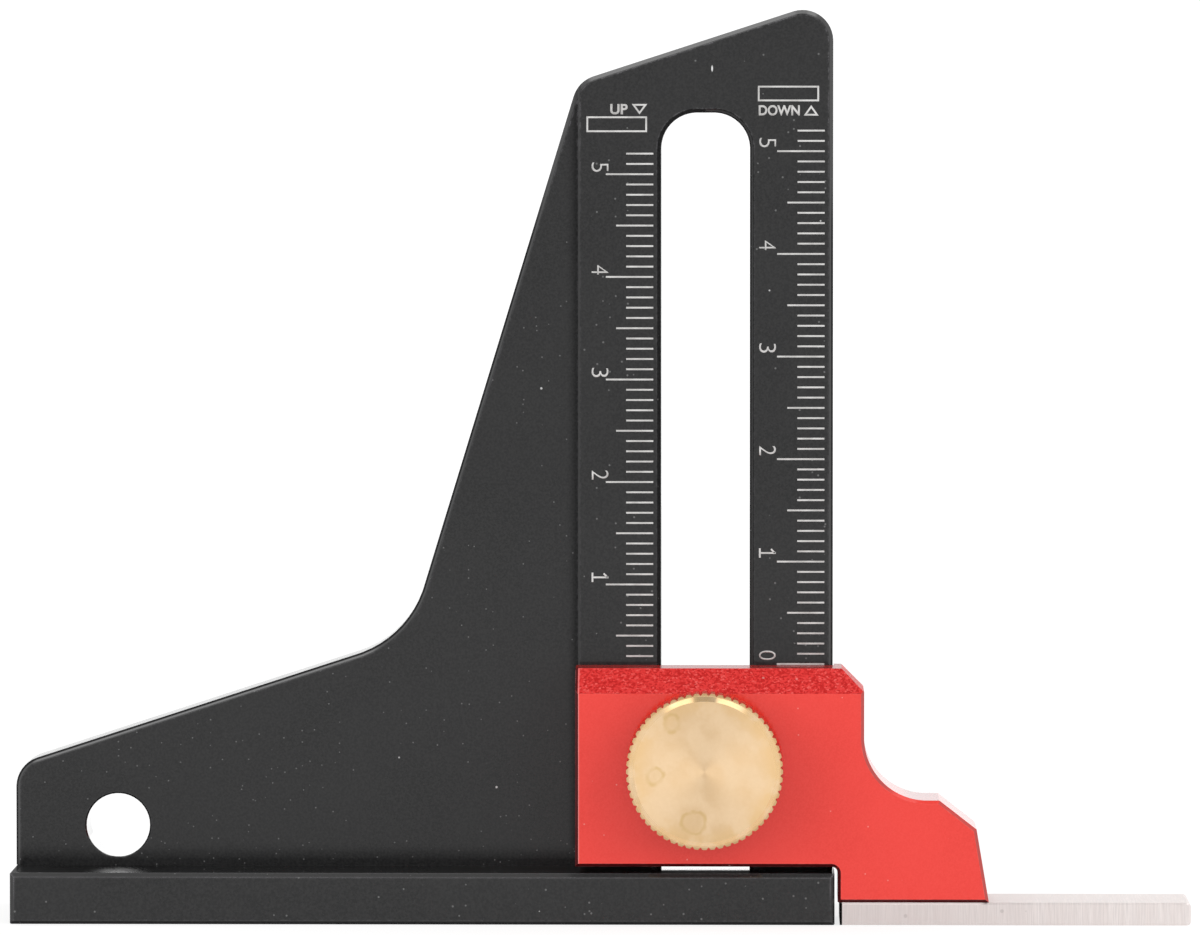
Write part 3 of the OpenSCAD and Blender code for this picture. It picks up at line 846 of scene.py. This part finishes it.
# Painted shade on the slider's chamfers: lighter on those that face right, darkest on those facing left or
# down and along the left end
RED_RIGHT_CHAMFER_SHADE = (0.42, 0.06, 0.055, 1.0)
RIGHT_CHAMFER_SHADE_SHOWS = 0.85
RED_CHAMFER_SHADE = (0.07, 0.005, 0.006, 1.0)
RED_WORN = (0.9, 0.3, 0.28, 1.0)
RED_WORN_SHOWS = 0.25
RED_DUST = (0.9, 0.55, 0.5, 1.0)
RED_DUST_SHOWS = 0.35

# Red finish: parts of the direction that its faces turn to, and places along the left end for its painted
# shade and painted highlight
READER_LEAN = (-0.6, -0.5)
OFF_LEAN = (-0.6, -0.3)
RIGHT_LEAN = (0.3, 0.5)
RED_TOP_LEAN = (0.9, 0.97)
RED_SLANT_REACH = (0.02, 0.06)
BEVEL_LEAN = 0.725
BEVEL_REACH = (0.08, 0.17)
BEVEL_ROOM = 3 * MM
READING_TOP_ROOM = 0.5 * MM
LEFT_END_W = (0.22 * MM, 0.28 * MM)
LEFT_HIGHLIGHT_AT = 0.34 * MM
LEFT_HIGHLIGHT_REACH = (0.03 * MM, 0.08 * MM)
GLINT_SPACING = 0.19 * MM
RED_SKIN = (0.65, 0.1)
RED_ROUGH = (0.25, 0.45)
RED_BUMP = 0.15
BEVEL_BUMP = 1.2


# Reading bevel: mottled reds darkened as painted shade, with painted glints
def bevel_colour(tree, place):
    dots = node(tree, "ShaderNodeTexVoronoi", Vector=place, Scale=1 / GLINT_SPACING).outputs["Color"]
    chance = node(tree, "ShaderNodeSeparateColor", Color=dots).outputs["Red"]
    colour = blend(tree, ramp(tree, chance, *BEVEL_RED_CHANCE), BEVEL_SHADE_DEEP, BEVEL_SHADE_SOFT)
    return blend(tree, ramp(tree, chance, *BEVEL_GLINT_CHANCE, 0.0, BEVEL_GLINT_SHOWS), colour, BEVEL_PAINTED_GLINT)


def red_anodised():
    """Blasted and dyed red under a clear sealed skin, with a coarse cut on the reading bevel, painted shade
    on the bevel, top and chamfers, painted glints on the bevel and a painted highlight along the left end.
    """
    finish, tree, shader = new_finish(
        "red_anodised", Metallic=0.0, Specular_IOR_Level=0.08, Coat_Roughness=0.08, Coat_IOR=1.5
    )
    place = place_on(tree)
    at = parts_of(tree, place)
    lean = lean_of(tree)
    grain = use_group(tree, GRAIN, Place=place, Grain=0.16 * MM, Patch=7 * MM)
    dust = use_group(tree, DUST, Place=place, Spacing=1.1 * MM, Speck=0.12, Share=0.25)["Mask"]
    edges = use_group(tree, EDGE_WEAR, Place=place, Width=0.18 * MM, Breaks=0.6 * MM)["Mask"]
    to_reader = fade(tree, lean["Y"], *READER_LEAN)
    top = ramp(tree, lean["Z"], *RED_TOP_LEAN)
    by_bevel = calc(tree, "GREATER_THAN", at["Z"], READING_EDGE - BEVEL_ROOM)
    bevel = times(tree, near(tree, lean["Z"], BEVEL_LEAN, *BEVEL_REACH), by_bevel)
    slanting = near(tree, lean["Y"], -SLANT, *RED_SLANT_REACH)
    turned_off = highest(tree, fade(tree, lean["X"], *OFF_LEAN), fade(tree, lean["Z"], *OFF_LEAN))
    from_left = calc(tree, "SUBTRACT", at["X"], SLIDER_LEFT)
    left_end = times(tree, to_reader, fade(tree, from_left, *LEFT_END_W))
    left_highlight = times(tree, to_reader, near(tree, from_left, LEFT_HIGHLIGHT_AT, *LEFT_HIGHLIGHT_REACH))
    # Painted shade: chamfers that face left or down, and the left end
    chamfer = highest(tree, times(tree, slanting, turned_off), left_end)
    right_chamfer_shade = times(tree, slanting, ramp(tree, lean["X"], *RIGHT_LEAN, 0.0, RIGHT_CHAMFER_SHADE_SHOWS))

    colour = blend(tree, grain["Tone"], RED_DEEP, RED_SOFT)
    colour = blend(tree, times(tree, grain["Height"], RED_SPECKLE_SHOWS), colour, RED_SPECKLE)
    # Reading bevel with painted shade and painted glints
    colour = blend(tree, bevel, colour, bevel_colour(tree, place))
    # Painted shade on the slider's top face
    colour = blend(tree, times(tree, top, RED_TOP_SHADE_SHOWS), colour, RED_TOP_SHADE)
    # Painted highlight along the slider's left edge
    colour = blend(tree, times(tree, left_highlight, LEFT_HIGHLIGHT_SHOWS), colour, RED_LEFT_HIGHLIGHT)
    # Painted shade on the slider's chamfers
    colour = blend(tree, right_chamfer_shade, colour, RED_RIGHT_CHAMFER_SHADE)
    colour = blend(tree, chamfer, colour, RED_CHAMFER_SHADE)
    colour = blend(tree, times(tree, edges, to_reader, RED_WORN_SHOWS), colour, RED_WORN)
    feed(tree, shader["Base Color"], blend(tree, times(tree, dust, RED_DUST_SHOWS), colour, RED_DUST))

    at_reading_top = calc(tree, "GREATER_THAN", at["Z"], READING_EDGE - READING_TOP_ROOM)
    bare = highest(tree, bevel, chamfer, times(tree, top, at_reading_top))
    feed(tree, shader["Coat Weight"], between(tree, bare, *RED_SKIN))
    feed(tree, shader["Roughness"], between(tree, bevel, *RED_ROUGH))
    relief = calc(tree, "ADD", RED_BUMP, times(tree, bevel, BEVEL_BUMP))
    bumpy(tree, shader, times(tree, grain["Height"], relief), depth=0.008 * MM)
    return finish


# Steel of the tongue and washer
GRIND_SCALE = (9000.0, 350.0, 350.0)
BAND_SCALE = (1500.0, 120.0, 120.0)
STEEL_DEEP = (0.71, 0.65, 0.633, 1.0)
STEEL_PALE = (0.86, 0.795, 0.775, 1.0)
STEEL_BAND = (0.72, 0.635, 0.61, 1.0)
BAND_SHOWS = 0.3
# Painted shade, darker towards the leg
STEEL_SHADE = (0.5, 0.44, 0.43, 1.0)
SHADE_SHOWS = 0.45
STEEL_SPOT = (0.35, 0.31, 0.3, 1.0)
SPOT_SHOWS = 0.35
# Painted highlight on the tongue's upper chamfer under the leg, pale and less metallic
STEEL_EDGE_HIGHLIGHT = (0.95, 0.85, 0.83, 1.0)
EDGE_HIGHLIGHT_METALLIC = 0.2
EDGE_HIGHLIGHT_FADE = 1 * MM
# Painted shade on the tongue's left end
STEEL_LEFT_SHADE = (0.02, 0.018, 0.018, 1.0)
STEEL_FRONT_LEAN = (-0.6, -0.4)
UPPER_LEAN = (0.5, 0.6)
STEEL_LEFT_W = (0.2 * MM, 0.26 * MM)
STEEL_ROUGH = (0.34, 0.46)


def streaks(tree, place, scale, **kind):
    """Noise drawn out across the bar, as a mask."""
    stretched = node(tree, "ShaderNodeMapping", Vector=place, Scale=scale).outputs["Vector"]
    noise = node(tree, "ShaderNodeTexNoise", Vector=stretched, Scale=1.0, **kind)
    return ramp(tree, noise.outputs["Fac"], *NOISE_SPAN)


def brushed_steel():
    """Stainless with grinding lines across the bar, painted shade towards the leg and on the left end, and a
    painted highlight on the upper edge under the leg.
    """
    finish, tree, shader = new_finish("brushed_steel")
    place = place_on(tree)
    lean = lean_of(tree)
    along = parts_of(tree, place)["X"]
    tone = streaks(tree, place, GRIND_SCALE, Detail=3.0, Roughness=0.6)
    band = streaks(tree, place, BAND_SCALE, Detail=2.0)
    dust = use_group(tree, DUST, Place=place, Spacing=1.3 * MM, Speck=0.13, Share=0.3)["Mask"]
    # Painted shade: darker towards the leg
    shade = ramp(tree, along, TONGUE_LOW.x, TONGUE_HIGH.x, SHADE_SHOWS, 0.0)
    from_left = calc(tree, "SUBTRACT", along, TONGUE_LOW.x)
    left_end_shade = times(tree, fade(tree, lean["Y"], *STEEL_FRONT_LEAN), fade(tree, from_left, *STEEL_LEFT_W))
    under_leg = fade(tree, along, SLIDER_RIGHT - EDGE_HIGHLIGHT_FADE, SLIDER_RIGHT)
    upper_edge = times(tree, near(tree, lean["Y"], -SLANT, *SLANT_REACH), ramp(tree, lean["Z"], *UPPER_LEAN))
    # Painted highlight on the upper chamfer under the leg
    under_leg_highlight = times(tree, upper_edge, under_leg)

    metal = blend(tree, tone, STEEL_DEEP, STEEL_PALE)
    metal = blend(tree, times(tree, band, BAND_SHOWS), metal, STEEL_BAND)
    # Painted shade towards the leg
    metal = blend(tree, shade, metal, STEEL_SHADE)
    metal = blend(tree, times(tree, dust, SPOT_SHOWS), metal, STEEL_SPOT)
    # Painted highlight under the leg
    metal = blend(tree, under_leg_highlight, metal, STEEL_EDGE_HIGHLIGHT)
    # Painted shade on the left end
    feed(tree, shader["Base Color"], blend(tree, left_end_shade, metal, STEEL_LEFT_SHADE))
    feed(tree, shader["Metallic"], between(tree, under_leg_highlight, 1.0, EDGE_HIGHLIGHT_METALLIC))
    feed(tree, shader["Roughness"], between(tree, tone, *STEEL_ROUGH))
    bumpy(tree, shader, tone, depth=0.003 * MM)
    return finish


# Brass of the knob; each dried drop is given by X and Z from the knob's axis and its radius
STAINS = (
    (-3.14 * MM, 4.69 * MM, 0.75 * MM),
    (-4.78 * MM, -0.4 * MM, 0.75 * MM),
    (-1.03 * MM, -4.92 * MM, 1.05 * MM),
)
STAIN_LINE = 0.36 * MM
CUT_SCALE = 9000.0
BRASS_DEEP = (0.8, 0.565, 0.33, 1.0)
BRASS_PALE = (0.84, 0.615, 0.385, 1.0)
BRASS_SPECKLE = (0.72, 0.5, 0.27, 1.0)
BRASS_SPECKLE_SHOWS = 0.15
BRASS_RIM = (0.79, 0.52, 0.24, 1.0)
RIM_SHOWS = 0.6
RIM_R = (5 * MM, 7 * MM)
RIM_CLOUDS = (0.2, 0.9, 1.0, 0.2)
BRASS_STAIN = (0.68, 0.46, 0.205, 1.0)
STAIN_SHOWS = 0.75
BRASS_DIRT = (0.45, 0.26, 0.12, 1.0)
DIRT_SHOWS = 0.6
TEETH_R = (KNOB_R - 0.35 * MM, KNOB_R - 0.1 * MM)
KNOB_BEVEL_LEAN = -0.7
KNOB_BEVEL_REACH = (0.15, 0.2)
KNOB_BEVEL_POLISH = 0.15
BRASS_ROUGH = (0.36, 0.28)


def turned_brass():
    """Brass with the cutter's rings round the knob's axis, dulled in patches and by three dried drops."""
    finish, tree, shader = new_finish("turned_brass", Metallic=1.0, Anisotropic=0.82)
    place = place_on(tree)
    lean = lean_of(tree)
    centred = node(tree, "ShaderNodeMapping", Vector=place, Location=tuple(-KNOB_CENTRE)).outputs["Vector"]
    at = parts_of(tree, centred)
    flat = node(tree, "ShaderNodeCombineXYZ", X=at["X"], Z=at["Z"]).outputs["Vector"]
    out = vector_calc(tree, "LENGTH", flat)
    cuts = node(tree, "ShaderNodeCombineXYZ", X=times(tree, out, CUT_SCALE)).outputs["Vector"]
    rings = node(tree, "ShaderNodeTexNoise", Vector=cuts, Scale=1.0, Detail=3.0).outputs["Fac"]
    clouds = use_group(tree, GRAIN, Place=place, Grain=0.35 * MM, Patch=2.2 * MM)
    drops = [
        use_group(tree, STAIN_RING, Place=centred, X=x, Z=z, Radius=radius, Line=STAIN_LINE)["Mask"]
        for x, z, radius in STAINS
    ]
    rim = times(tree, ramp(tree, out, *RIM_R), ramp(tree, clouds["Tone"], *RIM_CLOUDS), RIM_SHOWS)
    on_teeth = ramp(tree, out, *TEETH_R, 0.0, DIRT_SHOWS)
    polished = near(tree, lean["Y"], KNOB_BEVEL_LEAN, *KNOB_BEVEL_REACH)

    metal = blend(tree, clouds["Tone"], BRASS_DEEP, BRASS_PALE)
    metal = blend(tree, times(tree, clouds["Height"], BRASS_SPECKLE_SHOWS), metal, BRASS_SPECKLE)
    metal = blend(tree, rim, metal, BRASS_RIM)
    metal = blend(tree, times(tree, highest(tree, *drops), STAIN_SHOWS), metal, BRASS_STAIN)
    feed(tree, shader["Base Color"], blend(tree, on_teeth, metal, BRASS_DIRT))
    dull = between(tree, clouds["Tone"], *BRASS_ROUGH)
    feed(tree, shader["Roughness"], calc(tree, "SUBTRACT", dull, times(tree, polished, KNOB_BEVEL_POLISH)))
    feed(tree, shader["Tangent"], vector_calc(tree, "NORMALIZE", flat))
    bumpy(tree, shader, rings, depth=0.002 * MM)
    return finish


# Steel of the screws and the stud, and the marks
SCREW_DEEP = (0.27, 0.27, 0.28, 1.0)
SCREW_PALE = (0.36, 0.355, 0.35, 1.0)
SCREW_ROUGH = (0.28, 0.4)
MARK_DEEP = (0.5, 0.49, 0.48, 1.0)
MARK_PALE = (0.66, 0.65, 0.64, 1.0)
MARK_ROUGH = (0.55, 0.7)


def plain_steel():
    """Turned screw steel, a little dull."""
    finish, tree, shader = new_finish("plain_steel", Metallic=1.0)
    grain = use_group(tree, GRAIN, Place=place_on(tree), Grain=0.15 * MM, Patch=1.5 * MM)
    feed(tree, shader["Base Color"], blend(tree, grain["Tone"], SCREW_DEEP, SCREW_PALE))
    feed(tree, shader["Roughness"], between(tree, grain["Height"], *SCREW_ROUGH))
    bumpy(tree, shader, grain["Height"], depth=0.002 * MM)
    return finish


def etched_mark():
    """Pale mark burnt into the black finish."""
    finish, tree, shader = new_finish("etched_mark", Metallic=0.0, Specular_IOR_Level=0.3)
    grain = use_group(tree, GRAIN, Place=place_on(tree), Grain=0.12 * MM, Patch=1.2 * MM)
    feed(tree, shader["Base Color"], blend(tree, grain["Tone"], MARK_DEEP, MARK_PALE))
    feed(tree, shader["Roughness"], between(tree, grain["Height"], *MARK_ROUGH))
    return finish


def put_on(piece, finish):
    piece.data.materials.clear()
    piece.data.materials.append(finish)


# Studio

CAMERA_AT = Vector((32.45, -954.25, 88.0)) * MM
CAMERA_AIM = Vector((17.15, -4.25, 44.03)) * MM
CAMERA_LENS = 292.7
CAMERA_REACH = 20.0
SENSOR_W = 36.0
# Each lamp has its name, its place, its width and height, and its power
LAMPS = (
    ("left_softbox", (-0.75, -0.8, 0.16), (0.8, 1.2), 2.8),
    ("right_softbox", (0.8, -0.8, 0.2), (0.8, 1.2), 3.2),
)
FLOOR_SIZE = 1.6
FLOOR_DROP = 0.02 * MM
FLOOR_PALE = 0.3
FLOOR_GLOW = 0.78
FLOOR_MIRROR_GLOW = 0.8
FLOOR_BOUNCE_GLOW = 0.45

# Levels of the world, and the parts of a direction between which they change
WORLD_FILL = 1.12
SIDE_SPAN = (0.45, 0.95)
SIDE_SHADE = 0.8
SIDE_MIRROR_LIFT = 1.1
ABOVE_SPAN = (0.7, 0.95)
ABOVE_SHADE = 0.5
BEHIND_Y = (0.2, 0.8)
BEHIND_Z = (0.15, 0.3)
BEHIND_LIFT = 1.25
FRONT_Y = (-0.5, -0.3)
HIGH_FRONT_SPAN = (0.1, 0.4)
HIGH_FRONT_SHADE = 0.5
# In reflections the level above the gauge starts at the first value, straight up, and then changes by the
# third number of each row between two angles from straight up, towards either side
OVERHEAD_START = 0.6
OVERHEAD_STEPS = ((8, 13, 1.4), (25, 40, -1.05))
OVERHEAD_REACH = (0.35, 0.6)


def light_path(tree):
    """Masks of the rays that come from the camera and of those that were mirrored or passed on."""
    rays = node(tree, "ShaderNodeLightPath").outputs
    return rays["Is Camera Ray"], highest(tree, rays["Is Glossy Ray"], rays["Is Transmission Ray"])


def overhead(tree, way):
    """Two bright bands above the gauge, to the left and right of a darker middle."""
    tilt = tilt_of(tree, way)
    level = OVERHEAD_START
    for low, high, change in OVERHEAD_STEPS:
        level = calc(tree, "ADD", level, ramp(tree, tilt, math.radians(low), math.radians(high), 0.0, change))
    reach = fade(tree, calc(tree, "ABSOLUTE", way["Y"]), *OVERHEAD_REACH)
    return calc(tree, "ADD", 1.0, times(tree, reach, calc(tree, "SUBTRACT", level, 1.0)))


def make_world():
    """White where the camera looks, even and soft on the gauge, and with its own bands in reflections."""
    world = bpy.data.worlds.new("studio")
    bpy.context.scene.world = world
    world.use_nodes = True
    tree = world.node_tree
    camera, reflected = light_path(tree)
    way = parts_of(tree, node(tree, "ShaderNodeTexCoord").outputs["Generated"])
    side = between(tree, reflected, SIDE_SHADE, SIDE_MIRROR_LIFT)
    aside = ramp(tree, calc(tree, "ABSOLUTE", way["X"]), *SIDE_SPAN, 1.0, side)
    above = ramp(tree, way["Z"], *ABOVE_SPAN, WORLD_FILL, WORLD_FILL * ABOVE_SHADE)
    behind = times(tree, ramp(tree, way["Y"], *BEHIND_Y), fade(tree, way["Z"], *BEHIND_Z))
    behind = between(tree, behind, 1.0, BEHIND_LIFT)
    high_front = times(tree, way["Z"], fade(tree, way["Y"], *FRONT_Y))
    high_front = ramp(tree, high_front, *HIGH_FRONT_SPAN, 1.0, HIGH_FRONT_SHADE)
    mirrored = times(tree, overhead(tree, way), behind, high_front, reflected)
    fill = times(tree, above, all_but(tree, reflected))
    level = times(tree, aside, calc(tree, "ADD", fill, mirrored))
    feed_all(tree, tree.nodes["Background"], {"Color": grey(1.0), "Strength": highest(tree, level, camera)})


def make_floor():
    """Pale floor that reads as white, takes the shadow of the gauge and is open to a camera from below."""
    deselect_all()
    bpy.ops.mesh.primitive_plane_add(size=FLOOR_SIZE, location=(0, 0, -FLOOR_DROP))
    floor = name_piece("floor")
    finish, tree, shader = new_finish(
        "pale_floor",
        Base_Color=grey(FLOOR_PALE),
        Emission_Color=grey(1.0),
        Roughness=0.9,
        Specular_IOR_Level=0.0,
    )
    camera, reflected = light_path(tree)
    bounced = between(tree, reflected, FLOOR_BOUNCE_GLOW, FLOOR_MIRROR_GLOW)
    seen = times(tree, camera, FLOOR_GLOW)
    unseen = times(tree, all_but(tree, camera), bounced)
    feed(tree, shader["Emission Strength"], calc(tree, "ADD", seen, unseen))
    from_below = node(tree, "ShaderNodeNewGeometry").outputs["Backfacing"]
    feed(tree, shader["Alpha"], all_but(tree, from_below))
    put_on(floor, finish)


def aim(thing, target):
    thing.rotation_euler = (Vector(target) - thing.location).to_track_quat("-Z", "Y").to_euler()


def make_lamps():
    for name, at, size, power in LAMPS:
        data = bpy.data.lights.new(name, "AREA")
        data.shape = "RECTANGLE"
        data.size, data.size_y = size
        data.energy = power
        lamp = bpy.data.objects.new(name, data)
        lamp.location = at
        aim(lamp, CAMERA_AIM)
        bpy.context.scene.collection.objects.link(lamp)


def make_camera():
    data = bpy.data.cameras.new("camera")
    data.sensor_width = SENSOR_W
    data.sensor_fit = "HORIZONTAL"
    data.lens = CAMERA_LENS
    data.clip_end = CAMERA_REACH
    camera = bpy.data.objects.new("camera", data)
    camera.location = CAMERA_AT
    aim(camera, CAMERA_AIM)
    bpy.context.scene.collection.objects.link(camera)
    bpy.context.scene.camera = camera


# Dressing

def dress_nodes():
    """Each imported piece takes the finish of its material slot."""
    finishes = {
        "black_anodised": black_anodised(),
        "red_anodised": red_anodised(),
        "stainless": brushed_steel(),
        "screw_steel": plain_steel(),
        "brass": turned_brass(),
    }
    for part in record["subparts"]:
        put_on(nodes[part["node"]], finishes[part["material_slot"]])
    return finishes


def add_marks():
    ink = etched_mark()
    marks = (
        division_lines("up_scale_lines", UP_TICKS_END, UP_ZERO),
        division_lines("down_scale_lines", DOWN_TICKS_END, DOWN_ZERO),
        scale_numbers("up_scale_numbers", UP_DIGITS_X, UP_DIGITS_LIFT, UP_ZERO),
        scale_numbers("down_scale_numbers", DOWN_DIGITS_X, DOWN_DIGITS_LIFT, DOWN_ZERO),
        sign("up_sign", "UP", UP_WORD_X, UP_ARROW_X, UP_SIGN_Z, UP_WINDOW_X, UP_WINDOW_Z, True),
        sign(
            "down_sign", "DOWN", DOWN_WORD_X, DOWN_ARROW_X, DOWN_SIGN_Z, DOWN_WINDOW_X, DOWN_WINDOW_Z, False
        ),
    )
    for mark in marks:
        put_on(mark, ink)
        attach(mark, "frame")


def add_stud(finish):
    stud = threaded_stud("threaded_stud")
    put_on(stud, finish)
    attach(stud, "knob")
    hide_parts("clamp_stud")


finishes = dress_nodes()
add_marks()
add_stud(finishes["screw_steel"])
make_world()
make_floor()
make_lamps()
make_camera()
bpy.context.scene.view_settings.view_transform = "Standard"
